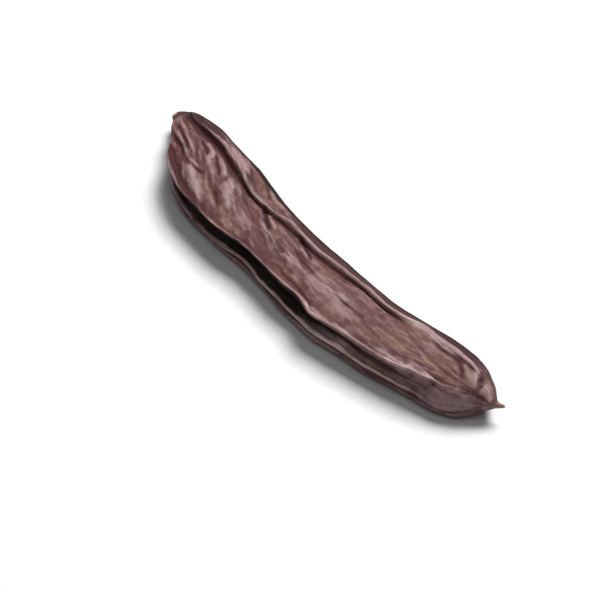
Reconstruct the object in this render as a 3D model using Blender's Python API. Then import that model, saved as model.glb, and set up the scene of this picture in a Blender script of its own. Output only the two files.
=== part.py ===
"""A whole ripe carob pod, dried and leathery, lying on one of its two broad faces.

The pod grew as one piece, so it is one solid. It is a ball drawn out along a bowed
spine, with a section that carries the pod's thick margins: a bead along the straight
edge, with a trough inside it, and a rim and a rib with a groove between them along the
bellied edge. The margins wander over the face as they do on the real pod. On that come
the long folds of the shrunken faces. Everything is in metres. X runs from the stalk
scar to the beak, Y across the faces, and +Z up.
"""

import bmesh
import bpy
import numpy as np
from mathutils import Vector, noise

# The whole pod's size, with the bow in its width.
LENGTH = 0.1312
WIDTH = 0.0248
THICKNESS = 0.0100

RING_COUNT = 77
SEGMENT_COUNT = 76
END_SHARE = 0.06  # share of the rings, at each end, that crowd towards the tip
FLAT_DEPTH = 0.0003  # how far the lowest rims are pressed flat where the pod lies

# Stations along the pod: distance from the scar, the spine's place across, half width,
# half thickness, and how strongly the margins stand out, from 0 to 1.
STATIONS = (
    (0.0000, -0.0007, 0.0000, 0.0000, 0.0),
    (0.0002, -0.0007, 0.0010, 0.0010, 0.0),
    (0.0009, -0.0005, 0.0017, 0.0017, 0.0),
    (0.0021, -0.0006, 0.0025, 0.0024, 0.1),
    (0.0035, -0.0009, 0.0035, 0.0029, 0.2),
    (0.0060, -0.0016, 0.0050, 0.0034, 0.4),
    (0.0100, -0.0028, 0.0069, 0.0039, 0.7),
    (0.0150, -0.0045, 0.0089, 0.0043, 0.9),
    (0.0200, -0.0065, 0.0102, 0.0045, 1.0),
    (0.0260, -0.0078, 0.0110, 0.0046, 1.0),
    (0.0330, -0.0086, 0.0114, 0.0046, 1.0),
    (0.0400, -0.0093, 0.0108, 0.0046, 1.0),
    (0.0480, -0.0099, 0.0099, 0.0045, 1.0),
    (0.0560, -0.0101, 0.0094, 0.0045, 1.0),
    (0.0640, -0.0104, 0.0096, 0.0045, 1.0),
    (0.0750, -0.0108, 0.0104, 0.0045, 1.0),
    (0.0830, -0.0107, 0.0103, 0.0045, 1.0),
    (0.0920, -0.0094, 0.0094, 0.0046, 0.9),
    (0.1010, -0.0078, 0.0098, 0.0047, 0.6),
    (0.1100, -0.0057, 0.0095, 0.0047, 0.6),
    (0.1180, -0.0048, 0.0091, 0.0045, 0.5),
    (0.1230, -0.0046, 0.0078, 0.0041, 0.4),
    (0.1260, -0.0034, 0.0053, 0.0033, 0.3),
    (0.1280, -0.0020, 0.0025, 0.0020, 0.1),
    (0.1292, -0.0015, 0.0014, 0.0014, 0.0),
    (0.1299, -0.0011, 0.0010, 0.0010, 0.0),
    (0.1304, -0.0007, 0.0008, 0.0008, 0.0),
    (0.1309, -0.0003, 0.0005, 0.0005, 0.0),
    (0.1312, 0.0000, 0.0000, 0.0000, 0.0),
)
STEEPEST = 2.0  # most that the station curves may outrun the gentler side of a station
LEAN = 0.7  # how far the stalk end is set back, for each metre above its middle
LEAN_REACH = (0.0010, 0.0060)

# The section, as places across and up in halves of its width and thickness. It starts
# in the groove of the straight edge and goes round over the upper face.
SECTION = (
    (0.96, -0.04), (1.00, 0.30), (0.93, 0.62), (0.78, 0.86), (0.60, 1.06), (0.41, 0.80), (0.31, 0.90),
    (0.08, 0.93), (-0.22, 0.97), (-0.48, 0.94), (-0.67, 0.90), (-0.79, 1.00), (-0.83, 0.72),
    (-0.78, 0.40), (-0.87, 0.12), (-0.97, -0.14), (-0.94, -0.40), (-0.99, -0.66), (-0.92, -0.90),
    (-0.76, -1.00), (-0.55, -0.86), (-0.14, -0.88), (0.28, -0.80), (0.56, -1.00), (0.80, -0.90),
    (0.95, -0.62), (1.00, -0.32),
)
MIDDLE_SIZE = (0.0095, 0.0045)  # half width and half thickness at mid-length
PLAIN_POWER = 2.4  # the section's outline without margins: 2 is an ellipse, more is boxier

# The section's points where a margin runs, counted from 0.
BEAD_CREST = 4
TROUGH = 5
FACE_EDGE = 6
RIM_CREST = 11
SUTURE = 13
RIB = 15
LOWER_RIM = 19

# Where the margins wander, as places along and across.
CREST_ROUTE = (
    (0.009, 0.0007), (0.016, 0.0004), (0.023, -0.0004), (0.028, -0.0018), (0.033, -0.0029),
    (0.037, -0.0043), (0.041, -0.0055), (0.046, -0.0056), (0.051, -0.0044), (0.056, -0.0044),
    (0.062, -0.0049), (0.069, -0.0047), (0.076, -0.0040), (0.084, -0.0036), (0.094, -0.0036),
    (0.098, -0.0029), (0.102, -0.0014), (0.108, -0.0008),
)
FACE_EDGE_ROUTE = (
    (0.007, -0.0015), (0.012, -0.0025), (0.018, -0.0029), (0.023, -0.0035), (0.029, -0.0051),
    (0.036, -0.0065), (0.043, -0.0073), (0.058, -0.0073), (0.068, -0.0076), (0.076, -0.0071),
    (0.081, -0.0065), (0.085, -0.0056), (0.093, -0.0055), (0.098, -0.0052),
)
RIM_ROUTE = (
    (0.008, -0.0070), (0.0115, -0.0099), (0.0146, -0.0126), (0.0185, -0.0151), (0.0226, -0.0170),
    (0.028, -0.0191), (0.036, -0.0201), (0.043, -0.0206), (0.049, -0.0199), (0.0535, -0.0188),
    (0.060, -0.0182), (0.070, -0.0187), (0.078, -0.0187), (0.083, -0.0198), (0.088, -0.0184),
    (0.095, -0.0169), (0.103, -0.0151), (0.108, -0.0138), (0.113, -0.0126),
)
RIM_TIP_ROUTE = (
    (0.119, -0.0103), (0.1224, -0.0082), (0.1256, -0.0056), (0.1280, -0.0035), (0.1295, -0.0021),
)
RIB_TIP_ROUTE = (
    (0.116, -0.0134), (0.1215, -0.0113), (0.1250, -0.0082), (0.1280, -0.0043), (0.1295, -0.0022),
)
RIB_RISE = (  # places along, and how far the rib's line wanders up
    (0.030, 0.0), (0.044, -0.0004), (0.050, 0.0004), (0.055, 0.0015), (0.060, 0.0006), (0.066, 0.0002),
    (0.080, -0.0004), (0.090, 0.0004), (0.100, 0.0), (0.112, 0.0), (0.118, 0.0005), (0.124, 0.0010),
    (0.128, 0.0004),
)
WANDERERS = (  # the section's points where a shift begins, is full and ends, and its route
    (2, BEAD_CREST, FACE_EDGE, CREST_ROUTE),
    (BEAD_CREST, FACE_EDGE, 9, FACE_EDGE_ROUTE),
    (8, RIM_CREST, SUTURE, RIM_ROUTE),
    (TROUGH, RIM_CREST, RIB, RIM_TIP_ROUTE),
    (RIM_CREST, RIB, LOWER_RIM, RIB_TIP_ROUTE),
)
ROUTE_FADE = 0.006
RIB_REACH = 0.030  # in turns

# Folds of the faces: height, half width, and the places along and across that the fold
# passes. A height below zero makes a crease.
TOP_FOLDS = (
    (0.00035, 0.0009, ((0.0043, -0.0030), (0.0109, -0.0050), (0.0183, -0.0083))),
    (0.00055, 0.0009, ((0.0032, -0.0033), (0.0076, -0.0063), (0.0178, -0.0097), (0.0243, -0.0110))),
    (-0.00045, 0.0008, ((0.0076, -0.0070), (0.0130, -0.0091), (0.0183, -0.0112))),
    (-0.00040, 0.0009, ((0.0140, -0.0112), (0.0202, -0.0149), (0.0302, -0.0185))),
    (0.00040, 0.0009, ((0.0252, -0.0041), (0.0287, -0.0057), (0.0316, -0.0078))),
    (-0.00040, 0.0008, ((0.0220, -0.0040), (0.0267, -0.0062), (0.0303, -0.0082))),
    (-0.00030, 0.0009, ((0.0228, -0.0115), (0.0325, -0.0127), (0.0390, -0.0152))),
    (0.00050, 0.0018, ((0.0330, -0.0058), (0.0357, -0.0084), (0.0410, -0.0138))),
    (0.00045, 0.0013, ((0.0220, -0.0124), (0.0282, -0.0153), (0.0350, -0.0180))),
    (-0.00040, 0.0008, ((0.0355, -0.0006), (0.0431, -0.0022), (0.0470, -0.0040))),
    (-0.00055, 0.0009, ((0.0455, -0.0058), (0.0495, -0.0075), (0.0558, -0.0114))),
    (-0.00040, 0.0009, ((0.0610, -0.0060), (0.0652, -0.0073), (0.0690, -0.0085))),
    (-0.00030, 0.0014, ((0.0580, -0.0108), (0.0620, -0.0125), (0.0655, -0.0142))),
    (0.00030, 0.0010, ((0.0620, -0.0170), (0.0692, -0.0146), (0.0728, -0.0164))),
    (0.00030, 0.0024, ((0.0735, -0.0116), (0.0785, -0.0122), (0.0845, -0.0118))),
    (0.00040, 0.0010, ((0.0785, -0.0189), (0.0835, -0.0182), (0.0935, -0.0167))),
    (-0.00060, 0.0009, ((0.1085, -0.0027), (0.1152, -0.0016), (0.1187, -0.0026), (0.1208, -0.0040))),
    (0.00040, 0.0008, ((0.1175, 0.0003), (0.1210, 0.0001), (0.1244, -0.0031))),
    (-0.00060, 0.0008, ((0.1198, 0.0015), (0.1230, 0.0002), (0.1254, -0.0030))),
)
UNDER_FOLDS = (
    (0.0006, 0.0014, ((0.006, -0.0030), (0.020, -0.0090), (0.040, -0.0130), (0.066, -0.0128))),
    (-0.0006, 0.0011, ((0.018, -0.0040), (0.034, -0.0085), (0.052, -0.0102), (0.070, -0.0092))),
    (0.0006, 0.0013, ((0.048, -0.0070), (0.062, -0.0082), (0.084, -0.0090), (0.104, -0.0062))),
    (-0.0007, 0.0010, ((0.074, -0.0120), (0.090, -0.0122), (0.108, -0.0084), (0.120, -0.0050))),
    (0.0006, 0.0012, ((0.096, -0.0110), (0.110, -0.0090), (0.122, -0.0044))),
    (-0.0006, 0.0010, ((0.008, -0.0060), (0.022, -0.0130), (0.036, -0.0160))),
)
FOLD_SAMPLES = 40
FACE_TILT = (0.1, 0.6)  # a normal's rise where the folds of a face begin and are full
GRIP_THICKNESS = (0.001, 0.004)  # half thickness where relief begins and is full

# Shallow waves of the skin, from a smooth random field stretched along the pod.
WAVE_HEIGHT = 0.0004
WAVE_LENGTH = 0.010
WAVES_AROUND = 3.6
WAVE_SEED = 7.0

SKIN_COLOUR = (0.085, 0.040, 0.038, 1.0)
SKIN_ROUGHNESS = 0.5


def flowing(x, places, values, slopes=None):
    """A smooth curve through the given values at the given places, read at x."""
    if slopes is None:
        slopes = np.gradient(values, places)
    i = np.clip(np.searchsorted(places, x, side="right") - 1, 0, len(places) - 2)
    step = places[i + 1] - places[i]
    t = (x - places[i]) / step
    return (
        values[i] * (1 + 2 * t) * (1 - t) ** 2
        + slopes[i] * step * t * (1 - t) ** 2
        + values[i + 1] * t**2 * (3 - 2 * t)
        + slopes[i + 1] * step * t**2 * (t - 1)
    )


def calm_slopes(places, values):
    """Slopes of a smooth curve, held back where one side is much steeper than the other."""
    slopes = np.gradient(values, places)
    rises = np.abs(np.diff(values) / np.diff(places))
    limit = STEEPEST * np.minimum(rises[:-1], rises[1:])
    slopes[1:-1] = np.clip(slopes[1:-1], -limit, limit)
    return slopes


def smooth_step(x, low, high):
    t = np.clip((x - low) / (high - low), 0, 1)
    return t * t * (3 - 2 * t)


def route(x, points):
    """The value of a route of (along, value) points at x, level beyond its ends."""
    places, values = np.array(points).T
    return flowing(np.clip(x, places[0], places[-1]), places, values)


def place_along(share):
    """Distance from the scar for a ring at this share of the rings, closer together at the ends."""
    near = np.minimum(share, 1 - share)
    eased = np.where(near < END_SHARE, near**2 / (2 * END_SHARE), near - END_SHARE / 2)
    eased = eased / (1 - END_SHARE)
    return LENGTH * np.where(share < 0.5, eased, 1 - eased)


def section_turns():
    """Where each point of the section is round the pod, by the outline's length, from 0 to 1."""
    points = np.array(SECTION) * MIDDLE_SIZE
    sides = np.linalg.norm(np.roll(points, -1, axis=0) - points, axis=1)
    return np.concatenate([[0], np.cumsum(sides)]) / sides.sum()


TURNS = section_turns()


def outline(turn, half_width, half_thickness, margins):
    """Places across and up of the section at these turns."""
    rich = np.array(SECTION)
    reach = (np.abs(rich) ** PLAIN_POWER).sum(axis=1) ** (1 / PLAIN_POWER)
    plain = rich / reach[:, None]
    wrapped = np.concatenate([TURNS[-4:-1] - 1, TURNS, TURNS[1:4] + 1])
    around = np.arange(-3, len(rich) + 4) % len(rich)
    sides = []
    for axis, half in ((0, half_width), (1, half_thickness)):
        with_margins = flowing(turn, wrapped, rich[around, axis])
        without = flowing(turn, wrapped, plain[around, axis])
        sides.append(half * (without + (with_margins - without) * margins))
    return sides


def wander(x, turn, spine, sizes):
    """How far the margins are moved across, onto their routes; the skin between them follows."""
    shift = np.zeros_like(x * turn)
    for begins, full, ends, points in WANDERERS:
        own = outline(np.full_like(x, TURNS[full]), *sizes)[0]
        first, last = points[0][0], points[-1][0]
        within = smooth_step(x, first - ROUTE_FADE, first) * (1 - smooth_step(x, last, last + ROUTE_FADE))
        climb = smooth_step(turn, TURNS[begins], TURNS[full])
        fall = 1 - smooth_step(turn, TURNS[full], TURNS[ends])
        shift += (route(x, points) - spine - own) * within * climb * fall
    return shift


def outward(skin):
    """The normals of a grid of points, rings by turns."""
    along = np.gradient(skin, axis=0)
    around = np.roll(skin, -1, axis=1) - np.roll(skin, 1, axis=1)
    normals = np.cross(around, along)
    normals /= np.maximum(np.linalg.norm(normals, axis=2, keepdims=True), 1e-15)
    normals[0], normals[-1] = (-1, 0, 0), (1, 0, 0)
    return normals


def fold_relief(skin, folds):
    """Height that these folds add to the skin."""
    x, y = skin[:, :, 0], skin[:, :, 1]
    height = np.zeros_like(x)
    for rise, half_width, points in folds:
        along = np.linspace(points[0][0], points[-1][0], FOLD_SAMPLES)
        across = route(along, points)
        distance = np.hypot(x[:, :, None] - along, y[:, :, None] - across).min(axis=2)
        height += rise * np.exp(-((distance / half_width) ** 2))
    return height


def wave_relief(x, turn):
    """Long shallow waves that run along the pod and close in towards its ends."""
    angle = 2 * np.pi * turn
    radius = WAVES_AROUND / 2
    sides = np.broadcast_arrays(x / WAVE_LENGTH, np.cos(angle) * radius + WAVE_SEED, np.sin(angle) * radius)
    values = [noise.noise(Vector(place)) for place in zip(*(side.ravel() for side in sides))]
    return WAVE_HEIGHT * np.array(values).reshape(sides[0].shape)


def pod_skin():
    """The pod's surface as a grid of points, rings by turns."""
    x = place_along(np.arange(RING_COUNT + 1) / RING_COUNT)[:, None]
    turn = (np.arange(SEGMENT_COUNT) / SEGMENT_COUNT)[None, :]
    table = np.array(STATIONS)
    spine, *sizes = (
        flowing(x, table[:, 0], values, calm_slopes(table[:, 0], values)) for values in table[:, 1:].T
    )
    across, up = outline(turn, *sizes)
    across = across + wander(x, turn, spine, sizes)
    from_rib = (turn - TURNS[RIB] + 0.5) % 1.0 - 0.5
    up = up + route(x, RIB_RISE) * np.exp(-((from_rib / RIB_REACH) ** 2))
    along = x + LEAN * np.maximum(up, 0) * (1 - smooth_step(x, *LEAN_REACH))
    skin = np.stack([along, across + spine, up], axis=2)

    normals = outward(skin)
    relief = fold_relief(skin, TOP_FOLDS) * smooth_step(normals[:, :, 2], *FACE_TILT)
    relief += fold_relief(skin, UNDER_FOLDS) * smooth_step(-normals[:, :, 2], *FACE_TILT)
    relief += wave_relief(x, turn)
    relief *= smooth_step(sizes[1], *GRIP_THICKNESS)
    return skin + normals * relief[:, :, None]


def lie_down(skin):
    """Bring the skin to the pod's size, centred over the origin, with its lowest rims pressed flat."""
    low, high = skin.reshape(-1, 3).min(axis=0), skin.reshape(-1, 3).max(axis=0)
    size = np.array([LENGTH, WIDTH, THICKNESS + FLAT_DEPTH])
    skin = (skin - low) * size / (high - low) - [LENGTH / 2, WIDTH / 2, FLAT_DEPTH]
    skin[:, :, 2] = np.maximum(skin[:, :, 2], 0)
    return skin


def skin_material():
    material = bpy.data.materials.new("carob_skin")
    material.use_nodes = True
    shader = material.node_tree.nodes["Principled BSDF"]
    shader.inputs["Base Color"].default_value = SKIN_COLOUR
    shader.inputs["Roughness"].default_value = SKIN_ROUGHNESS
    shader.inputs["Metallic"].default_value = 0.0
    return material


def carob_pod(collection):
    mesh = bpy.data.meshes.new("carob_pod")
    ball = bmesh.new()
    bmesh.ops.create_uvsphere(ball, u_segments=SEGMENT_COUNT, v_segments=RING_COUNT, radius=1.0)
    ball.to_mesh(mesh)
    ball.free()
    unit = np.empty(len(mesh.vertices) * 3)
    mesh.vertices.foreach_get("co", unit)
    unit = unit.reshape(-1, 3)
    ring = np.rint(RING_COUNT * (1 - np.arccos(np.clip(unit[:, 2], -1, 1)) / np.pi)).astype(int)
    place = np.rint(SEGMENT_COUNT * np.arctan2(unit[:, 1], unit[:, 0]) / (2 * np.pi)).astype(int)
    skin = lie_down(pod_skin())
    mesh.vertices.foreach_set("co", skin[ring, place % SEGMENT_COUNT].ravel())
    mesh.update()
    mesh.shade_smooth()
    mesh.materials.append(skin_material())
    pod = bpy.data.objects.new("carob_pod", mesh)
    collection.objects.link(pod)
    return pod


def main():
    for old in list(bpy.data.objects):
        bpy.data.objects.remove(old, do_unlink=True)
    collection = bpy.data.collections.new("carob pod")
    bpy.context.scene.collection.children.link(collection)
    carob_pod(collection)


main()
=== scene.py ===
# %% [markdown]
# # A dried carob pod
#
# A ripe carob pod is a long flat bean pod that dries on the tree. Its husk shrinks round
# the seeds and turns dark purple-brown, leathery and wrinkled, with a thick margin along
# each edge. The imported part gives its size, its bow and its main ridges. Here the same
# body gets a fine mesh with the real wrinkles, a skin, soft light and a camera.

import math

import bmesh
import bpy
import numpy as np
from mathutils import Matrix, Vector, noise


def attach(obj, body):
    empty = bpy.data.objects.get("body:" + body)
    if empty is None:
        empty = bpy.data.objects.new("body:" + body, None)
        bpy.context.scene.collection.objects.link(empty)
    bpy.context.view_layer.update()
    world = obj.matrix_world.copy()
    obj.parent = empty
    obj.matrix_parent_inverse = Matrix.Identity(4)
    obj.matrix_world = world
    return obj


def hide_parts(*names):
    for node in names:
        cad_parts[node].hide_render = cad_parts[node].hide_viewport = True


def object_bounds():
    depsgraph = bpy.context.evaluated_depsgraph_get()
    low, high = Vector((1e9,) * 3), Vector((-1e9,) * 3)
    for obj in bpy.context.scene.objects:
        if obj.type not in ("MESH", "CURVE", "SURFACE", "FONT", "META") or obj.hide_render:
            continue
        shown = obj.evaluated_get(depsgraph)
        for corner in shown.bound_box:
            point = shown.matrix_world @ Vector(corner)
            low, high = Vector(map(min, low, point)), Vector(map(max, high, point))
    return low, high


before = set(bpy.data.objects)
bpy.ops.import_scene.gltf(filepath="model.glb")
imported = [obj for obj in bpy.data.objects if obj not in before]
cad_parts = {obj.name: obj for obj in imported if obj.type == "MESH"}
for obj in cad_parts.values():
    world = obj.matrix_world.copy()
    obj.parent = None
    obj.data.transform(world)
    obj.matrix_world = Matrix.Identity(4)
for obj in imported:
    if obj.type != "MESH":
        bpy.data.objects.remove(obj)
part_low, part_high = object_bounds()
print("packed part, mm:", [round(side * 1000, 2) for side in part_high - part_low])

# %% [markdown]
# ## Camera
#
# The pod lies flat and is seen from about 45 degrees above, from its rounder side and
# towards its beak, so that it runs from the upper left to the lower right. A long lens
# from half a metre away keeps both ends at nearly the same scale.

# %% Camera
CAMERA_AZIMUTH = math.radians(52.9)
CAMERA_ELEVATION = math.radians(45.0)
CAMERA_DISTANCE = 0.5428
AIM = Vector((0.0039, -0.0054, 0.0))
LENS = 135.0  # millimetres, on Blender's sensor of 36

to_right = Vector((math.cos(CAMERA_AZIMUTH), math.sin(CAMERA_AZIMUTH), 0))
away = Vector((-math.sin(CAMERA_AZIMUTH), math.cos(CAMERA_AZIMUTH), 0))
upward = Vector((0, 0, 1))


def stand_at(item, place, target):
    """Put a camera or a light at a place, turned towards a target."""
    item.location = place
    item.rotation_euler = (target - place).to_track_quat("-Z", "Y").to_euler()
    bpy.context.scene.collection.objects.link(item)


lens = bpy.data.cameras.new("camera")
lens.lens = LENS
camera = bpy.data.objects.new("camera", lens)
back = -math.cos(CAMERA_ELEVATION) * away + math.sin(CAMERA_ELEVATION) * upward
stand_at(camera, AIM + CAMERA_DISTANCE * back, AIM)
bpy.context.scene.camera = camera
print("camera at", [round(side, 3) for side in camera.location])

# %% [markdown]
# ## Floor and light
#
# The pod lies on a plain white sweep that is lit until it is nearly pure white. One large
# soft light hangs high behind the pod and to the right. From there it shines along the
# upper face towards the camera, which draws the sheen on every wrinkle, and it leaves the
# near edge and a narrow soft shadow dark. A weaker one overhead picks out the rib there,
# and the white room gives a faint fill.

# %% Floor and light
FLOOR_SIZE = 6.0
FLOOR_DROP = 0.00004  # keeps the floor clear of the pod's flat resting spots
FLOOR_WHITE = 0.62
LIGHT_DISTANCE = 2.2
KEY_PLACE = 0.33 * to_right + 0.42 * away + 0.85 * upward
KEY_SIZE = 1.1
KEY_POWER = 88.0
TOP_PLACE = -0.30 * away + 0.95 * upward
TOP_SIZE = 1.4
TOP_POWER = 7.0
ROOM_COLOUR = (0.97, 0.97, 1.0, 1)
ROOM_STRENGTH = 0.15


def plain_floor():
    mesh = bpy.data.meshes.new("floor")
    sheet = bmesh.new()
    bmesh.ops.create_grid(sheet, x_segments=1, y_segments=1, size=FLOOR_SIZE / 2)
    sheet.to_mesh(mesh)
    sheet.free()
    white = bpy.data.materials.new("white_floor")
    white.use_nodes = True
    shader = white.node_tree.nodes["Principled BSDF"]
    shader.inputs["Base Color"].default_value = (FLOOR_WHITE, FLOOR_WHITE, FLOOR_WHITE, 1)
    shader.inputs["Roughness"].default_value = 1.0
    shader.inputs["Specular IOR Level"].default_value = 0.0
    mesh.materials.append(white)
    floor = bpy.data.objects.new("floor", mesh)
    floor.location = (0, 0, -FLOOR_DROP)
    bpy.context.scene.collection.objects.link(floor)


def soft_light(name, place, size, power):
    light = bpy.data.lights.new(name, "AREA")
    light.shape = "SQUARE"
    light.size = size
    light.energy = power
    stand_at(bpy.data.objects.new(name, light), LIGHT_DISTANCE * place.normalized(), Vector((0, 0, 0)))


plain_floor()
soft_light("key_light", KEY_PLACE, KEY_SIZE, KEY_POWER)
soft_light("top_light", TOP_PLACE, TOP_SIZE, TOP_POWER)
room = bpy.data.worlds.new("white_room")
room.use_nodes = True
room.node_tree.nodes["Background"].inputs["Color"].default_value = ROOM_COLOUR
room.node_tree.nodes["Background"].inputs["Strength"].default_value = ROOM_STRENGTH
bpy.context.scene.world = room
bpy.context.scene.view_settings.view_transform = "Standard"

# %% [markdown]
# ## Curves through chosen values
#
# The pod has no straight line and no round stretch, so its shape is given as values at a
# few chosen places, with a smooth curve through them. A cubic with a slope at each place
# is enough. Where the two sides of a place differ much in steepness, the slope is held
# back, or the curve would swing past the values.

# %% Curves through chosen values
STEEPEST = 2.0  # most that a slope may outrun the gentler side of its place


def flowing(x, places, values, slopes):
    """A smooth curve through the values at the places, read at x."""
    i = np.clip(np.searchsorted(places, x, side="right") - 1, 0, len(places) - 2)
    step = places[i + 1] - places[i]
    t = (x - places[i]) / step
    return (
        values[i] * (1 + 2 * t) * (1 - t) ** 2
        + slopes[i] * step * t * (1 - t) ** 2
        + values[i + 1] * t**2 * (3 - 2 * t)
        + slopes[i + 1] * step * t**2 * (t - 1)
    )


def calm_slopes(places, values):
    """Slopes for the curve, held back beside a steep stretch."""
    slopes = np.gradient(values, places)
    rises = np.abs(np.diff(values) / np.diff(places))
    limit = STEEPEST * np.minimum(rises[:-1], rises[1:])
    slopes[1:-1] = np.clip(slopes[1:-1], -limit, limit)
    return slopes


def smooth_step(x, low, high):
    t = np.clip((x - low) / (high - low), 0, 1)
    return t * t * (3 - 2 * t)


def route(x, points):
    """The place across of a route of (along, across) points, level beyond its ends."""
    places, values = np.array(points).T
    slopes = np.gradient(values, places)
    return flowing(np.clip(x, places[0], places[-1]), places, values, slopes)


# %% [markdown]
# ## The body of the pod
#
# The pod is a ball drawn out along a bowed line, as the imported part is: at each station
# along it there is a half width, a half thickness and how strongly the margins stand
# out. The fine mesh follows the same stations, so it keeps the part's form. Rings
# crowd together at both ends, where the skin closes over the scar and the beak.

# %% The body of the pod
LENGTH = 0.1312
RING_COUNT = 364
SEGMENT_COUNT = 272
END_SHARE = 0.06  # share of the rings, at each end, that crowd towards the tip

STATIONS = (  # along, spine across, half width, half thickness, strength of the margins
    (0.0000, -0.0007, 0.0000, 0.0000, 0.0),
    (0.0002, -0.0007, 0.0010, 0.0010, 0.0),
    (0.0009, -0.0005, 0.0017, 0.0017, 0.0),
    (0.0021, -0.0006, 0.0025, 0.0024, 0.1),
    (0.0035, -0.0009, 0.0035, 0.0029, 0.2),
    (0.0060, -0.0016, 0.0050, 0.0034, 0.4),
    (0.0100, -0.0028, 0.0069, 0.0039, 0.7),
    (0.0150, -0.0045, 0.0089, 0.0043, 0.9),
    (0.0200, -0.0065, 0.0102, 0.0045, 1.0),
    (0.0260, -0.0078, 0.0110, 0.0046, 1.0),
    (0.0330, -0.0086, 0.0114, 0.0046, 1.0),
    (0.0400, -0.0093, 0.0108, 0.0046, 1.0),
    (0.0480, -0.0099, 0.0099, 0.0045, 1.0),
    (0.0560, -0.0101, 0.0094, 0.0045, 1.0),
    (0.0640, -0.0104, 0.0096, 0.0045, 1.0),
    (0.0750, -0.0107, 0.0102, 0.0045, 1.0),
    (0.0830, -0.0106, 0.0102, 0.0045, 1.0),
    (0.0920, -0.0095, 0.0095, 0.0046, 0.9),
    (0.1010, -0.0080, 0.0100, 0.0047, 0.6),
    (0.1100, -0.0058, 0.0096, 0.0047, 0.5),
    (0.1180, -0.0048, 0.0091, 0.0045, 0.4),
    (0.1230, -0.0046, 0.0078, 0.0041, 0.1),
    (0.1260, -0.0034, 0.0053, 0.0033, 0.0),
    (0.1280, -0.0020, 0.0025, 0.0020, 0.0),
    (0.1290, -0.0014, 0.0013, 0.0013, 0.0),
    (0.1296, -0.0009, 0.0008, 0.0008, 0.0),
    (0.1303, -0.0003, 0.0006, 0.0006, 0.0),
    (0.1309, 0.0001, 0.0003, 0.0003, 0.0),
    (0.1312, 0.0002, 0.0000, 0.0000, 0.0),
)


def place_along(share):
    """Distance from the scar for a ring at this share of the rings."""
    near = np.minimum(share, 1 - share)
    eased = np.where(near < END_SHARE, near**2 / (2 * END_SHARE), near - END_SHARE / 2)
    eased = eased / (1 - END_SHARE)
    return LENGTH * np.where(share < 0.5, eased, 1 - eased)


ring_x = place_along(np.arange(RING_COUNT + 1) / RING_COUNT)
station_table = np.array(STATIONS)
spine, half_width, half_thickness, margins = (
    flowing(ring_x, station_table[:, 0], column, calm_slopes(station_table[:, 0], column))[:, None]
    for column in station_table[:, 1:].T
)
x = np.repeat(ring_x[:, None], SEGMENT_COUNT, axis=1)
turn = np.repeat(np.arange(SEGMENT_COUNT)[None, :] / SEGMENT_COUNT, RING_COUNT + 1, axis=0)
print("rings every", round(float(np.diff(ring_x).max()) * 1e3, 2), "mm at most")

# %% [markdown]
# ## The section
#
# Cut across, the pod is a flattened oval with a bead along its straight edge and a rim
# and a rib with a groove between them along its rounder edge, where the two halves of
# the husk meet. The section is a closed curve through chosen points. Its ridges keep
# their own place round the mesh all along the pod, so each ridge runs along a line of
# edges and stays crisp. Two of them wander across the face, and the rib up and down.

# %% The section
SECTION = (  # across and up, in halves of the width and thickness, from the straight edge's groove
    (0.96, -0.04), (1.00, 0.30), (0.93, 0.62), (0.78, 0.86), (0.60, 1.06), (0.41, 0.80), (0.31, 0.90),
    (0.08, 0.93), (-0.22, 0.97), (-0.48, 0.94), (-0.67, 0.90), (-0.79, 1.00), (-0.83, 0.72),
    (-0.78, 0.40), (-0.87, 0.12), (-0.97, -0.14), (-0.94, -0.40), (-0.99, -0.66), (-0.92, -0.90),
    (-0.76, -1.00), (-0.55, -0.86), (-0.14, -0.88), (0.28, -0.80), (0.56, -1.00), (0.80, -0.90),
    (0.95, -0.62), (1.00, -0.32),
)
MIDDLE_SIZE = (0.0095, 0.0045)  # half width and half thickness at mid-length
PLAIN_POWER = 2.4  # the outline without margins: 2 is an ellipse, more is boxier


def section_turns():
    """Where each section point is round the pod, by the length of the outline at mid-length."""
    outline_points = np.array(SECTION) * MIDDLE_SIZE
    sides = np.linalg.norm(np.roll(outline_points, -1, axis=0) - outline_points, axis=1)
    return np.concatenate([[0], np.cumsum(sides)]) / sides.sum(), sides.sum()


turns, girth = section_turns()
STRAIGHT_GROOVE, STRAIGHT_CREST, TROUGH, RIM_CREST = turns[0], turns[4], turns[5], turns[11]
SUTURE, RIB, LOWER_RIM, LOWER_BEAD = turns[13], turns[15], turns[19], turns[23]


def outline(turn, half_width, half_thickness, margins):
    """Places across and up of the section at these turns."""
    rich = np.array(SECTION)
    plain = rich / (np.abs(rich) ** PLAIN_POWER).sum(axis=1, keepdims=True) ** (1 / PLAIN_POWER)
    wrapped = np.concatenate([turns[-4:-1] - 1, turns, turns[1:4] + 1])
    around = np.arange(-3, len(rich) + 4) % len(rich)
    sides = []
    for axis, half in ((0, half_width), (1, half_thickness)):
        shapes = [
            flowing(turn, wrapped, values, np.gradient(values, wrapped))
            for values in (plain[around, axis], rich[around, axis])
        ]
        sides.append(half * (shapes[0] + (shapes[1] - shapes[0]) * margins))
    return sides


across, up = outline(turn, half_width, half_thickness, margins)
print("girth at mid-length, mm:", round(girth * 1000, 1))

# %% [markdown]
# ## Wandering margins
#
# On the real pod the margins don't keep to the outline. The bead's crest comes in over
# the first third, runs straight, then moves out towards the beak, and the rim leaves the
# edge near the beak. Each is moved sideways as a smooth bump of the section, so the crest
# stays one line of the mesh.

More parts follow.
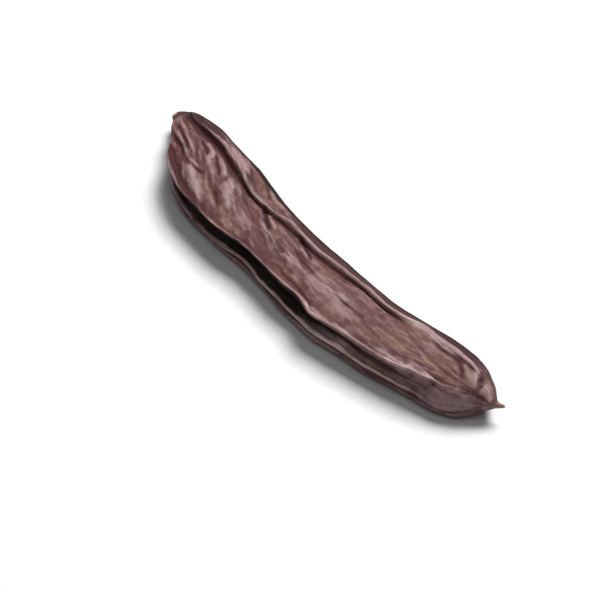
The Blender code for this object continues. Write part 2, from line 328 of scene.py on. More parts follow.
# %% Wandering margins
CREST_ROUTE = (
    (0.009, -0.0003), (0.016, -0.0005), (0.023, -0.0010), (0.028, -0.0022), (0.033, -0.0032),
    (0.037, -0.0046), (0.041, -0.0058), (0.046, -0.0060), (0.051, -0.0057), (0.056, -0.0050),
    (0.062, -0.0054), (0.069, -0.0053), (0.076, -0.0046), (0.084, -0.0041), (0.094, -0.0039),
    (0.098, -0.0030), (0.102, -0.0014), (0.108, -0.0008),
)
FACE_EDGE_ROUTE = (  # where the trough beside the crest ends and the flat face begins
    (0.007, -0.0015), (0.012, -0.0025), (0.018, -0.0029), (0.023, -0.0035), (0.029, -0.0051),
    (0.036, -0.0065), (0.043, -0.0073), (0.058, -0.0073), (0.068, -0.0076), (0.076, -0.0071),
    (0.081, -0.0065), (0.085, -0.0056), (0.093, -0.0055), (0.098, -0.0052),
)
RIM_ROUTE = (
    (0.008, -0.0070), (0.0115, -0.0101), (0.0146, -0.0135), (0.0185, -0.0160), (0.0226, -0.0179),
    (0.028, -0.0196), (0.036, -0.0203), (0.043, -0.0206), (0.049, -0.0202), (0.0535, -0.0193),
    (0.060, -0.0191), (0.070, -0.0194), (0.078, -0.0191), (0.083, -0.0205), (0.088, -0.0193),
    (0.095, -0.0176), (0.103, -0.0158), (0.108, -0.0143), (0.113, -0.0122),
)
RIM_TIP_ROUTE = (
    (0.119, -0.0098), (0.1224, -0.0076), (0.1256, -0.0051), (0.1280, -0.0033),
)
RIB_TIP_ROUTE = (
    (0.116, -0.0134), (0.1215, -0.0113), (0.1250, -0.0082), (0.1280, -0.0044),
)
RIB_RISE = (  # along, and how far the rib's line wanders up
    (0.028, -0.0004), (0.035, -0.0012), (0.043, -0.0015), (0.048, -0.0010), (0.053, 0.0001),
    (0.057, 0.0001), (0.062, -0.0011), (0.066, -0.0007), (0.070, 0.0), (0.078, -0.0003),
    (0.085, -0.0004), (0.093, -0.0001), (0.099, 0.0004), (0.105, 0.0006), (0.110, 0.0003),
    (0.116, -0.0001), (0.122, -0.0008), (0.128, 0.0),
)
WANDERERS = (  # turns where the shift begins, is full and ends, and the route
    (turns[2], STRAIGHT_CREST, turns[6], CREST_ROUTE),
    (STRAIGHT_CREST, turns[6], turns[9], FACE_EDGE_ROUTE),
    (turns[8], RIM_CREST, SUTURE, RIM_ROUTE),
    (TROUGH, RIM_CREST, RIB, RIM_TIP_ROUTE),
    (RIM_CREST, RIB, LOWER_RIM, RIB_TIP_ROUTE),
)
ROUTE_FADE = 0.006
ENDS_KEPT = (0.0045, 0.1297)  # nothing is shifted beyond these places along
RIB_REACH = 0.030  # in turns


def from_line(line):
    """How far each point is from a line round the pod, in turns, the short way."""
    return (turn - line + 0.5) % 1.0 - 0.5


def within(points, fade):
    """1 along a route and 0 beyond its ends."""
    first, last = points[0][0], points[-1][0]
    starts = smooth_step(x, max(first - fade, ENDS_KEPT[0]), first)
    return starts * (1 - smooth_step(x, last, min(last + fade, ENDS_KEPT[1])))


def wander():
    """Move the section's ridges sideways onto their routes; the skin between them follows."""
    shift = np.zeros_like(x)
    for begins, line, ends, points in WANDERERS:
        own = outline(np.full_like(ring_x[:, None], line), half_width, half_thickness, margins)[0]
        off = (route(ring_x[:, None], points) - spine - own) * within(points, ROUTE_FADE)
        shift += off * smooth_step(turn, begins, line) * (1 - smooth_step(turn, line, ends))
    return shift


across = across + wander()
up = up + route(x, RIB_RISE) * np.exp(-((from_line(RIB) / RIB_REACH) ** 2))
LEAN = 0.7  # how far the stalk end is set back, for each metre above its middle
LEAN_REACH = (0.0010, 0.0060)

lean = LEAN * np.maximum(up, 0) * (1 - smooth_step(x, *LEAN_REACH))
skin = np.stack([x + lean, across + spine, up], axis=2)
print("bare body, mm:", (np.ptp(skin.reshape(-1, 3), axis=0) * 1000).round(1))

# %% [markdown]
# ## Raising the skin
#
# Every ridge and fold is a height added along the skin's own normal. The normals are
# worked out again after each layer, so a fine wrinkle on the flank of a fold stands
# square to the flank. Near the two ends the heights shrink with the girth, because the
# wrinkles run together there.

# %% Raising the skin
FULL_GIRTH = 0.046  # heights keep their full value where the pod is at least this far round
STALK_CALM = (0.0008, 0.0060)  # and they fade out over this stretch beside the scar


def outward(points):
    """The skin's normals."""
    along = np.gradient(points, axis=0)
    around = np.roll(points, -1, axis=1) - np.roll(points, 1, axis=1)
    normals = np.cross(around, along)
    normals /= np.maximum(np.linalg.norm(normals, axis=2, keepdims=True), 1e-15)
    normals[0], normals[-1] = (-1, 0, 0), (1, 0, 0)
    return normals


ring_girth = np.linalg.norm(np.roll(skin, -1, axis=1) - skin, axis=2).sum(axis=1)[:, None]
grip = smooth_step(ring_girth, 0.0, FULL_GIRTH) * smooth_step(x, *STALK_CALM)


def raise_skin(height):
    """Add a height, in metres, along the normals."""
    global skin
    skin = skin + outward(skin) * (height * grip)[:, :, None]


facing_up = smooth_step(outward(skin)[:, :, 2], 0.05, 0.55)
facing_down = smooth_step(-outward(skin)[:, :, 2], 0.05, 0.55)

# %% [markdown]
# ## A field of noise
#
# Skin is never even, so lines waver and heights vary. One function reads Blender's
# gradient noise on the whole grid. The place round the pod enters as a point on a
# circle, so that the field closes on itself, and the field is squeezed round the pod
# and stretched along it, because the husk shrank across more than along.

# %% A field of noise
DRIFT = ((0.020, 0.0), (0.032, 0.04), (0.048, 0.12), (0.062, 0.16), (0.080, 0.17))
# along, and how far the wrinkles have slipped round towards the rounder edge, in turns


def field(length, width, seed, slip=0.0):
    """Smooth noise with cells of this length along and this width round the pod."""
    radius = girth / width / (2 * math.pi)
    angle = 2 * math.pi * (turn - route(x, DRIFT) + slip)
    sides = (x / length, radius * np.cos(angle), radius * np.sin(angle) + seed)
    values = [noise.noise(Vector(place)) for place in zip(*(side.ravel() for side in sides))]
    return np.array(values).reshape(x.shape)


slow = field(0.012, 0.008, 3.0)
quick = field(0.0035, 0.004, 11.0)
print("noise from", round(float(slow.min()), 2), "to", round(float(slow.max()), 2))

# %% [markdown]
# ## Margin lines
#
# Each margin has a thin hard line on its crest, which the light picks out from end to
# end, and a hollow beside it. They run at a fixed turn, waver a little and vary in height.
# Towards the beak the hollows fill up, and the face runs on into the margins.

# %% Margin lines
MARGIN_LINES = (  # turn, height, half width, from, to
    (STRAIGHT_CREST, 0.00015, 0.00060, 0.008, 0.100),
    (TROUGH, -0.00010, 0.00110, 0.010, 0.036),
    (TROUGH, 0.00020, 0.00110, 0.042, 0.094),
    (turns[6], -0.00012, 0.00060, 0.010, 0.094),
    (TROUGH, 0.00045, 0.00150, 0.096, 0.117),
    (RIM_CREST, 0.00020, 0.00050, 0.014, 0.124),
    (SUTURE, -0.00070, 0.00130, 0.020, 0.096),
    (SUTURE, 0.00025, 0.00140, 0.106, 0.126),
    (RIB, 0.00030, 0.00042, 0.018, 0.112),
    (LOWER_RIM, 0.00010, 0.00060, 0.010, 0.118),
    (LOWER_BEAD, 0.00010, 0.00060, 0.010, 0.116),
    (STRAIGHT_GROOVE, -0.00025, 0.00060, 0.006, 0.122),
)
WAVER = 0.00025
UNEVEN = 0.5


def margin_relief():
    height = np.zeros_like(x)
    for line, rise, half, first, last in MARGIN_LINES:
        distance = from_line(line) * ring_girth + WAVER * slow
        profile = np.exp(-((np.abs(distance) / half) ** 1.5))
        ends = smooth_step(x, first, first + ROUTE_FADE) * (1 - smooth_step(x, last - ROUTE_FADE, last))
        height += rise * profile * ends * (1 + UNEVEN * quick)
    return height


raise_skin(margin_relief())

# %% [markdown]
# ## Folds of the upper face
#
# The folds that give this pod its look are placed one by one. Each is a height, a half width towards the
# straight edge, a half width towards the rounder edge and a route. With unlike half widths a fold leans: it
# climbs gently on one side and drops on the other, as shrunken leather does. A height below zero is a
# crease.

# %% Folds of the upper face
STALK_FOLDS = (  # two ridges that fan out from the scar, and the furrow inside the rim
    (0.00030, 0.0008, 0.0007, (
        (0.0043, -0.0030), (0.0077, -0.0041), (0.0109, -0.0050), (0.0141, -0.0064), (0.0183, -0.0083))),
    (0.00045, 0.0007, 0.0006, (
        (0.0032, -0.0033), (0.0076, -0.0063), (0.0130, -0.0080), (0.0178, -0.0097), (0.0218, -0.0112),
        (0.0243, -0.0110))),
    (-0.00030, 0.0006, 0.0006, ((0.0050, -0.0042), (0.0077, -0.0052), (0.0130, -0.0071), (0.0172, -0.0089))),
    (-0.00040, 0.0004, 0.0005, ((0.0076, -0.0070), (0.0109, -0.0084), (0.0150, -0.0096), (0.0183, -0.0110))),
    (-0.00035, 0.0008, 0.0005, (
        (0.0140, -0.0112), (0.0162, -0.0127), (0.0202, -0.0149), (0.0252, -0.0171), (0.0302, -0.0185))),
)
SHOULDER_FOLDS = (  # slanting ridges below the trough, then a smooth dome and a long bulge
    (-0.00030, 0.0004, 0.0004, ((0.0228, -0.0115), (0.0252, -0.0118), (0.0275, -0.0117))),
    (0.00025, 0.0005, 0.0006, ((0.0188, -0.0032), (0.0217, -0.0044), (0.0240, -0.0055))),
    (-0.00030, 0.0004, 0.0005, ((0.0165, -0.0036), (0.0195, -0.0050), (0.0230, -0.0066))),
    (0.00025, 0.0007, 0.0007, ((0.0218, -0.0058), (0.0260, -0.0081), (0.0299, -0.0097))),
    (0.00035, 0.0006, 0.0005, ((0.0252, -0.0041), (0.0287, -0.0057), (0.0316, -0.0078))),
    (-0.00035, 0.0004, 0.0005, ((0.0238, -0.0047), (0.0267, -0.0062), (0.0303, -0.0082))),
    (0.00030, 0.0018, 0.0022, ((0.0330, -0.0058), (0.0357, -0.0084), (0.0376, -0.0110), (0.0410, -0.0138))),
    (0.00040, 0.0014, 0.0010, ((0.0220, -0.0124), (0.0282, -0.0153), (0.0350, -0.0180))),
    (-0.00030, 0.0008, 0.0007, ((0.0285, -0.0110), (0.0325, -0.0127), (0.0390, -0.0152))),
)
MIDDLE_FOLDS = (  # dark tongues that leave the trough, shallow streaks, and an arch above the rim
    (-0.00018, 0.0004, 0.0006, ((0.0395, -0.0082), (0.0452, -0.0100), (0.0505, -0.0122))),
    (-0.00042, 0.0005, 0.0007, ((0.0470, -0.0066), (0.0505, -0.0084), (0.0540, -0.0104))),
    (0.00025, 0.0005, 0.0005, ((0.0499, -0.0071), (0.0522, -0.0080), (0.0548, -0.0093))),
    (0.00015, 0.0010, 0.0010, ((0.0485, -0.0090), (0.0530, -0.0116), (0.0565, -0.0128))),
    (-0.00035, 0.0005, 0.0006, ((0.0610, -0.0060), (0.0652, -0.0073), (0.0690, -0.0085))),
    (0.00025, 0.0005, 0.0006, ((0.0632, -0.0071), (0.0668, -0.0085), (0.0710, -0.0092))),
    (-0.00025, 0.0013, 0.0013, ((0.0580, -0.0108), (0.0620, -0.0125), (0.0655, -0.0142))),
    (0.00030, 0.0008, 0.0010, ((0.0620, -0.0135), (0.0655, -0.0127), (0.0695, -0.0124))),
    (0.00025, 0.0006, 0.0008, ((0.0620, -0.0170), (0.0662, -0.0154), (0.0692, -0.0146), (0.0728, -0.0164))),
    (-0.00020, 0.0004, 0.0004, ((0.0635, -0.0097), (0.0690, -0.0106), (0.0735, -0.0110))),
    (0.00030, 0.0024, 0.0024, ((0.0735, -0.0116), (0.0785, -0.0122), (0.0845, -0.0118))),
    (-0.00025, 0.0005, 0.0004, ((0.0675, -0.0169), (0.0740, -0.0174), (0.0815, -0.0178))),
    (0.00030, 0.0014, 0.0014, ((0.0785, -0.0193), (0.0835, -0.0192), (0.0880, -0.0181), (0.0935, -0.0171))),
    (-0.00020, 0.0004, 0.0004, ((0.0820, -0.0115), (0.0865, -0.0113), (0.0920, -0.0111))),
)
BEAK_FOLDS = (  # thin streaks, and two creases that hook in towards the beak
    (-0.00012, 0.0003, 0.0004, ((0.1005, -0.0053), (0.1060, -0.0062), (0.1115, -0.0068))),
    (-0.00012, 0.0004, 0.0003, ((0.1055, -0.0092), (0.1092, -0.0084), (0.1130, -0.0079))),
    (-0.00045, 0.0007, 0.0008, (
        (0.1085, -0.0027), (0.1125, -0.0024), (0.1152, -0.0016), (0.1172, -0.0019), (0.1187, -0.0026),
        (0.1208, -0.0040))),
    (0.00022, 0.0008, 0.0008, ((0.1178, -0.0002), (0.1210, -0.0006), (0.1228, -0.0017), (0.1242, -0.0033))),
    (-0.00030, 0.0007, 0.0008, ((0.1232, -0.0010), (0.1244, -0.0019), (0.1257, -0.0036))),
    (0.00015, 0.0008, 0.0009, ((0.1240, -0.0013), (0.1265, -0.0015), (0.1290, -0.0013))),
    (0.00030, 0.0006, 0.0006, ((0.1230, -0.0051), (0.1262, -0.0038), (0.1292, -0.0022))),
    (0.00010, 0.0010, 0.0010, ((0.1015, -0.0147), (0.1070, -0.0134), (0.1125, -0.0113), (0.1180, -0.0093))),
)
MARGIN_FACETS = (  # flat facets outside the bead's crest, with creases between them
    (0.00020, 0.0008, 0.0006, ((0.0235, 0.0003), (0.0300, -0.0008), (0.0350, -0.0020))),
    (-0.00035, 0.0004, 0.0004, ((0.0330, -0.0002), (0.0355, -0.0017), (0.0378, -0.0032))),
    (0.00014, 0.0007, 0.0005, ((0.0360, -0.0030), (0.0400, -0.0044), (0.0455, -0.0050))),
    (-0.00024, 0.0005, 0.0004, ((0.0395, -0.0004), (0.0425, -0.0019), (0.0455, -0.0034))),
    (0.00015, 0.0008, 0.0008, ((0.0400, 0.0003), (0.0450, -0.0016), (0.0505, -0.0030))),
    (0.00020, 0.0004, 0.0004, ((0.0515, -0.0031), (0.0552, -0.0042), (0.0590, -0.0049))),
)
UPPER_FOLDS = STALK_FOLDS + SHOULDER_FOLDS + MIDDLE_FOLDS + BEAK_FOLDS + MARGIN_FACETS
ROUND_FOLD = 1.7  # 2 is a round fold, 1 a knife edge
FOLD_TAPER = 0.3  # share of a fold's length over which each end fades
FOLD_WAVER = 0.00025
FOLD_UNEVEN = 0.5


def fold_relief(folds, sharpness=ROUND_FOLD):
    """Height that the folds add. Only the rings beside a fold are worked on."""
    height = np.zeros_like(x)
    for rise, to_straight, to_round, points in folds:
        first, last = points[0][0], points[-1][0]
        fade = FOLD_TAPER * (last - first)
        rings = slice(*np.searchsorted(ring_x, (first - fade, last + fade)))
        along, level = x[rings], route(x[rings], points)
        lean = np.gradient(level[:, 0], ring_x[rings])[:, None]
        distance = (skin[rings, :, 1] - level) / np.hypot(1, lean) + FOLD_WAVER * quick[rings]
        half = np.where(distance > 0, to_straight, to_round)
        profile = np.exp(-((np.abs(distance) / half) ** sharpness))
        starts = smooth_step(along, first - fade / 2, first + fade / 2)
        ends = 1 - smooth_step(along, last - fade / 2, last + fade / 2)
        height[rings] += rise * profile * starts * ends * (1 + FOLD_UNEVEN * slow[rings])
    return height


raise_skin(fold_relief(UPPER_FOLDS) * facing_up)
print(len(UPPER_FOLDS), "folds on the upper face")

# %% [markdown]
# ## Folds of the underside
#
# The underside isn't seen from the front, so its folds are of the same kinds, placed
# freely: a few long ones that follow the bow and short ones that cross between them.

# %% Folds of the underside
UNDER_FOLDS = (
    (0.00055, 0.0009, 0.0012, ((0.006, -0.0030), (0.020, -0.0090), (0.040, -0.0130), (0.066, -0.0128))),
    (-0.00055, 0.0006, 0.0008, ((0.018, -0.0040), (0.034, -0.0085), (0.052, -0.0102), (0.070, -0.0092))),
    (0.00050, 0.0010, 0.0009, ((0.048, -0.0070), (0.062, -0.0082), (0.084, -0.0090), (0.104, -0.0062))),
    (-0.00060, 0.0006, 0.0007, ((0.074, -0.0120), (0.090, -0.0122), (0.108, -0.0084), (0.120, -0.0050))),
    (0.00050, 0.0009, 0.0008, ((0.096, -0.0110), (0.110, -0.0090), (0.122, -0.0044))),
    (-0.00050, 0.0006, 0.0006, ((0.008, -0.0060), (0.022, -0.0130), (0.036, -0.0160))),
    (0.00040, 0.0005, 0.0006, ((0.026, -0.0060), (0.036, -0.0110), (0.046, -0.0145))),
    (-0.00040, 0.0004, 0.0005, ((0.054, -0.0130), (0.064, -0.0150), (0.078, -0.0155))),
    (0.00035, 0.0005, 0.0006, ((0.078, -0.0150), (0.090, -0.0148), (0.102, -0.0125))),
    (-0.00040, 0.0004, 0.0005, ((0.100, -0.0030), (0.110, -0.0028), (0.119, -0.0020))),
)
raise_skin(fold_relief(UNDER_FOLDS) * facing_down)
print(len(UNDER_FOLDS), "folds on the underside")

# %% [markdown]
# ## Pull lines
#
# As the husk shrinks it is pulled slantwise from the straight edge to the rounder one,
# and the pull leaves hundreds of short shallow lines. They are drawn like brush strokes:
# each starts at a random place on a face and follows the pull, which runs with the
# margins beside them and slants across between them. Most are faint. The draw is seeded.

# %% Pull lines
PULL = (  # along, and how steeply the pull slants across the middle of the face
    (0.004, -0.45), (0.012, -0.45), (0.018, -0.60), (0.035, -0.65), (0.055, -0.55), (0.066, -0.30),
    (0.085, -0.04), (0.100, 0.12), (0.115, 0.12), (0.124, 0.25),
)
PULL_WIDTH = 1.6  # more lets the slant reach nearer to the margins
STROKE_STEPS = 5
STROKE_LENGTH = (0.003, 0.012)
STROKE_RISE = (0.00002, 0.00010)
STROKE_HALF = (0.00018, 0.00060)
DOWN_SHARE = 0.5  # share of the strokes that are creases
STROKE_CALM = (  # along, and the share of the upper strokes' height that is kept
    (0.010, 0.8), (0.030, 0.8), (0.045, 0.6), (0.090, 0.6), (0.105, 0.9),
)
SLOPE_STEP = 0.0005


def slope(along, points):
    return (route(along + SLOPE_STEP, points) - route(along - SLOPE_STEP, points)) / (2 * SLOPE_STEP)


def pull_lines(draw, count, reach, far_points, near_points):
    """Strokes between two routes, each as a fold."""
    length = draw.uniform(*STROKE_LENGTH, count)
    along = draw.uniform(reach[0], reach[1] - length)
    share = draw.uniform(0, 1, count)
    across = route(along, far_points) * (1 - share) + route(along, near_points) * share
    stations = [(along, across)]
    for _ in range(STROKE_STEPS):
        far, near = route(along, far_points), route(along, near_points)
        share = np.clip((far - across) / (far - near), 0, 1)
        slant = np.minimum(1, PULL_WIDTH * 4 * share * (1 - share))
        edges = slope(along, far_points) * (1 - share) + slope(along, near_points) * share
        across = across + length / STROKE_STEPS * (slant * route(along, PULL) + (1 - slant) * edges)
        along = along + length / STROKE_STEPS
        stations.append((along, across))
    strength = draw.random(count) ** 2
    rise = STROKE_RISE[0] + (STROKE_RISE[1] - STROKE_RISE[0]) * strength
    rise = rise * np.where(draw.random(count) < DOWN_SHARE, -1, 1)
    halves = draw.uniform(*STROKE_HALF, (2, count))
    paths = np.array(stations).transpose(2, 0, 1)
    return [(rise[i], halves[0, i], halves[1, i], paths[i].tolist()) for i in range(count)]


OUTER_ROUTE = ((0.004, 0.0010), (0.014, 0.0032), (0.030, 0.0018), (0.050, -0.0014), (0.075, -0.0014),
               (0.095, 0.0000), (0.112, 0.0030), (0.124, 0.0020))
UNDER_FAR = ((0.004, 0.0006), (0.014, 0.0020), (0.050, -0.0026), (0.090, -0.0022), (0.112, 0.0016),
             (0.126, -0.0006))
UNDER_NEAR = ((0.004, -0.0030), (0.018, -0.0125), (0.034, -0.0178), (0.060, -0.0175), (0.086, -0.0178),
              (0.106, -0.0135), (0.126, -0.0060))
FACE_STROKES = 330
BEAD_STROKES = 70
UNDER_STROKES = 260

stroke_draw = np.random.default_rng(12)
upper_strokes = pull_lines(stroke_draw, FACE_STROKES, (0.004, 0.127), FACE_EDGE_ROUTE, RIM_ROUTE)
upper_strokes += pull_lines(stroke_draw, BEAD_STROKES, (0.006, 0.124), OUTER_ROUTE, CREST_ROUTE)
under_strokes = pull_lines(stroke_draw, UNDER_STROKES, (0.004, 0.126), UNDER_FAR, UNDER_NEAR)
raise_skin(fold_relief(upper_strokes) * route(x, STROKE_CALM) * facing_up)
raise_skin(fold_relief(under_strokes) * facing_down)
print(len(upper_strokes) + len(under_strokes), "pull lines")

# %% [markdown]
# ## Wrinkles
#
# The finest wrinkles are lens-shaped and cover everything. A noise field that is
# stretched along the pod gives them: where it crosses zero there is a narrow crest, and
# the skin sags between the crests. The sides of the pod stay smoother, because the
# margins hold the skin taut. Under them the whole skin swells and sinks a little.

# %% Wrinkles
WRINKLES = (  # cell length, cell width, height, crest softness, seed
    (0.0110, 0.0026, 0.00007, 0.45, 23.0),
    (0.0050, 0.0011, 0.00004, 0.35, 37.0),
    (0.0022, 0.0006, 0.00002, 0.30, 51.0),
)
NOISE_SWING = 0.35  # how far the noise usually swings
SIDE_SHARE = 0.6  # how much of the wrinkles' height is left on the pod's sides
BEND = 0.010  # how far a slow field bends the wrinkles round, in turns
SWELLING = 0.00022

faces_share = SIDE_SHARE + (1 - SIDE_SHARE) * np.maximum(facing_up, facing_down)
raise_skin(SWELLING * field(0.011, 0.009, 5.0) * faces_share)
for length, width, rise, softness, seed in WRINKLES:
    swing = field(length, width, seed, slip=BEND * slow) / NOISE_SWING
    crests = 1 - np.sqrt(swing**2 + softness**2)
    raise_skin(rise * np.maximum(crests, -1.0) * faces_share)

# %% [markdown]
# ## Scar
#
# The pod broke off its stalk and left a small round corky scar with a low lip. The skin
# is pushed in over the scar's middle and out round its edge. The cork is one number from
# 0 to 1. It also comes a little way round onto the near side, and the dry spur at the
# beak has some of it.

# %% Scar
SCAR_RADIUS = 0.0011
SCAR_DEPTH = 0.0003
SCAR_LIP = 0.00015
SCAR_REACH = 0.0012  # how far along the pod the scar's shape is felt
CORK_PLACE = (0.0003, -0.0012, 0.0010)  # middle of the cork, from the scar's middle
CORK_REACH = (0.0009, 0.0016)
SPUR_REACH = (0.1286, 0.1304)  # the dry spur at the beak is as tan as the cork
SPUR_CORK = 0.4

scar_distance = np.hypot(skin[:, :, 1] - spine[0], skin[:, :, 2]) / SCAR_RADIUS
scar_near = 1 - smooth_step(x, SCAR_REACH / 2, SCAR_REACH)
dish = SCAR_DEPTH * (1 - smooth_step(scar_distance, 0.0, 0.85))
lip = SCAR_LIP * np.exp(-(((scar_distance - 1.0) / 0.25) ** 2))
skin[:, :, 0] += (dish - lip) * scar_near
cork_distance = np.linalg.norm(skin - (0, spine[0, 0], 0) - CORK_PLACE, axis=2)
scar_mask = (1 - smooth_step(scar_distance, 0.75, 1.15)) * scar_near
scar_mask = np.maximum(scar_mask, 1 - smooth_step(cork_distance, *CORK_REACH))
scar_mask = np.maximum(scar_mask, SPUR_CORK * smooth_step(x, *SPUR_REACH))

# %% [markdown]
# ## Bands of colour
#
# The troughs and the outer flank are dark maroon, partly their own colour and partly painted shade, the
# groove below the rim and the outer flank's edge are painted nearly black as shade, and the crests, the rim
# and the rib carry painted highlights. These colours keep to the section, so each is a band round a line of
# it, with a strength that changes along the pod. Where two bands of a table overlap, the stronger one holds.

# %% Bands of colour
TROUGH_MIDDLE = (STRAIGHT_CREST + turns[6]) / 2
TROUGH_HALF = (turns[6] - STRAIGHT_CREST) / 2
GROOVE_MIDDLE = (RIM_CREST + RIB) / 2 - 0.006
GROOVE_HALF = (RIB - RIM_CREST) / 2 - 0.008
# Maroon bands: partly the husk's own colour, partly painted shade in the troughs, on the outer flank and
# under the rim.
MAROON_AND_SHADE_BANDS = (  # turn of its middle, half width in turns, soft edge, and its strength along the pod
    (TROUGH_MIDDLE + 0.006, TROUGH_HALF + 0.002, 0.012, (
        (0.002, 0.95), (0.024, 0.95), (0.036, 0.9), (0.044, 0.2), (0.060, 0.35), (0.080, 0.1),
        (0.106, 0.0))),
    (0.060, 0.060, 0.008, (
        (0.004, 0.95), (0.014, 0.9), (0.020, 0.6), (0.024, 0.1), (0.048, 0.0), (0.056, 0.95),
        (0.118, 0.95), (0.124, 0.1))),
    (0.036, 0.038, 0.006, ((0.004, 0.95), (0.118, 0.95), (0.124, 0.3))),
    (RIM_CREST + 0.036, 0.022, 0.010, ((0.080, 0.0), (0.086, 0.9), (0.098, 0.9), (0.105, 0.0))),
    (RIM_CREST - 0.010, 0.016, 0.012, (
        (0.010, 0.0), (0.014, 0.6), (0.022, 0.5), (0.034, 0.8), (0.041, 0.0), (0.048, 0.0),
        (0.053, 0.4), (0.058, 0.1), (0.066, 0.0))),
    (GROOVE_MIDDLE, GROOVE_HALF, 0.006, (
        (0.022, 0.3), (0.032, 0.8), (0.080, 0.8), (0.090, 0.4), (0.096, 0.1), (0.104, 0.0))),
)
# Painted shade, nearly black: the groove under the rim, the outer flank beside the silhouette and a patch at
# the stalk end.
BLACK_SHADE_BANDS = (
    (GROOVE_MIDDLE, GROOVE_HALF, 0.009, (
        (0.018, 0.0), (0.024, 0.4), (0.032, 1.0), (0.078, 0.95), (0.084, 0.6), (0.090, 0.15),
        (0.096, 0.0))),
    (0.060, 0.060, 0.008, (
        (0.004, 0.5), (0.014, 0.4), (0.020, 0.2), (0.024, 0.0), (0.050, 0.0), (0.058, 0.15),
        (0.090, 0.15), (0.104, 0.35), (0.118, 0.35), (0.124, 0.0))),
    (0.040, 0.040, 0.005, ((0.004, 0.7), (0.118, 0.7), (0.128, 0.0))),
    (0.165, 0.035, 0.015, ((0.002, 0.5), (0.007, 0.4), (0.013, 0.0))),
    (RIM_CREST + 0.038, 0.026, 0.008, (
        (0.080, 0.0), (0.086, 0.6), (0.098, 0.5), (0.106, 0.2), (0.113, 0.0))),
)
# Painted highlights: light lines along the bead's crest, the rim and the rib, and painted light on the wall
# at the beak.
PAINTED_HIGHLIGHT_BANDS = (
    (STRAIGHT_CREST - 0.004, 0.009, 0.006, (
        (0.050, 0.0), (0.058, 0.85), (0.080, 0.9), (0.096, 0.9), (0.104, 0.5))),
    (RIM_CREST + 0.014, 0.018, 0.008, ((0.010, 0.0), (0.014, 1.3), (0.026, 1.3), (0.033, 0.0))),
    (RIB - 0.004, 0.009, 0.006, (
        (0.015, 0.3), (0.040, 0.8), (0.060, 1.7), (0.070, 2.0), (0.104, 2.0), (0.114, 1.2), (0.126, 0.5))),
    (GROOVE_MIDDLE + 0.010, 0.060, 0.030, (
        (0.090, 0.0), (0.102, 0.3), (0.112, 0.25), (0.124, 0.5), (0.130, 0.3))),
    (STRAIGHT_CREST + 0.016, 0.018, 0.008, ((0.096, 0.0), (0.102, 0.35), (0.115, 0.5), (0.121, 0.0))),
    (RIM_CREST + 0.006, 0.013, 0.008, ((0.098, 0.0), (0.104, 0.9), (0.112, 0.7), (0.122, 0.0))),
)
BAND_WAVER = 0.006


def bands(table):
    """How strongly each point lies in one of these bands."""
    total = np.zeros_like(x)
    for middle, half, soft, strength in table:
        distance = np.abs(from_line(middle) + BAND_WAVER * quick)
        inside = 1 - smooth_step(distance, half - soft, half + soft)
        total = np.maximum(total, inside * route(x, strength))
    return total


# %% [markdown]
# ## Stains
#
# Pale patches are dried bloom with painted sheen on them, where the husk lay against the sweet pulp it is
# tan, and its deeper folds are maroon with painted shade in them. A stain is placed as a fold is, with a
# weight in place of the height.

# %% Stains
# Pale patches where the skin faces the key light: painted sheen over paler dried bloom.
BLOOM_AND_SHEEN_STAINS = (
    (0.9, 0.0010, 0.0009, ((0.0252, -0.0002), (0.0292, -0.0006), (0.0352, -0.0021))),
    (0.35, 0.0004, 0.0004, ((0.0352, -0.0033), (0.0402, -0.0050), (0.0462, -0.0054))),
    (0.45, 0.0009, 0.0007, ((0.0392, -0.0012), (0.0452, -0.0024), (0.0512, -0.0034))),
    (0.5, 0.0005, 0.0005, (
        (0.0052, -0.0036), (0.0082, -0.0044), (0.0112, -0.0052), (0.0142, -0.0064), (0.0182, -0.0082))),
    (0.4, 0.0004, 0.0004, (
        (0.0042, -0.0041), (0.0082, -0.0067), (0.0132, -0.0081), (0.0177, -0.0096),
        (0.0217, -0.0111), (0.0242, -0.0109))),
    (0.9, 0.0006, 0.0006, ((0.0197, -0.0031), (0.0237, -0.0053))),
    (0.9, 0.0008, 0.0008, ((0.0222, -0.0057), (0.0257, -0.0081))),
    (0.8, 0.0007, 0.0007, ((0.0265, -0.0046), (0.0309, -0.0076))),
    (0.9, 0.0017, 0.0026, ((0.0335, -0.0062), (0.0367, -0.0097), (0.0387, -0.0124), (0.0422, -0.0149))),
    (0.9, 0.0013, 0.0013, ((0.0232, -0.0129), (0.0292, -0.0154), (0.0342, -0.0174))),
    (0.6, 0.0009, 0.0009, ((0.0497, -0.0088), (0.0557, -0.0117))),
    (0.6, 0.0010, 0.0010, ((0.0452, -0.0136), (0.0512, -0.0154))),
    (0.8, 0.0011, 0.0011, ((0.0632, -0.0114), (0.0682, -0.0134))),
    (0.7, 0.0022, 0.0024, ((0.0722, -0.0114), (0.0792, -0.0120), (0.0872, -0.0114))),
    (0.4, 0.0008, 0.0008, ((0.0852, -0.0136), (0.0932, -0.0130))),
    (1.35, 0.0016, 0.0024, (
        (0.0787, -0.0184), (0.0832, -0.0190), (0.0857, -0.0187), (0.0892, -0.0177), (0.0952, -0.0169))),
    (0.9, 0.0008, 0.0008, ((0.0442, -0.0181), (0.0522, -0.0179))),
    (1.2, 0.0012, 0.0015, ((0.1022, -0.0146), (0.1072, -0.0134), (0.1112, -0.0121))),
    (0.9, 0.0009, 0.0009, ((0.1102, -0.0122), (0.1132, -0.0114), (0.1177, -0.0100))),
    (1.0, 0.0010, 0.0010, (
        (0.0972, -0.0030), (0.1032, -0.0018), (0.1082, -0.0014), (0.1132, -0.0009),
        (0.1182, -0.0004), (0.1212, -0.0008))),
    (1.1, 0.0010, 0.0010, ((0.1254, -0.0009), (0.1287, -0.0020))),
    (0.6, 0.0005, 0.0005, ((0.1202, -0.0086), (0.1242, -0.0070), (0.1282, -0.0053))),
)
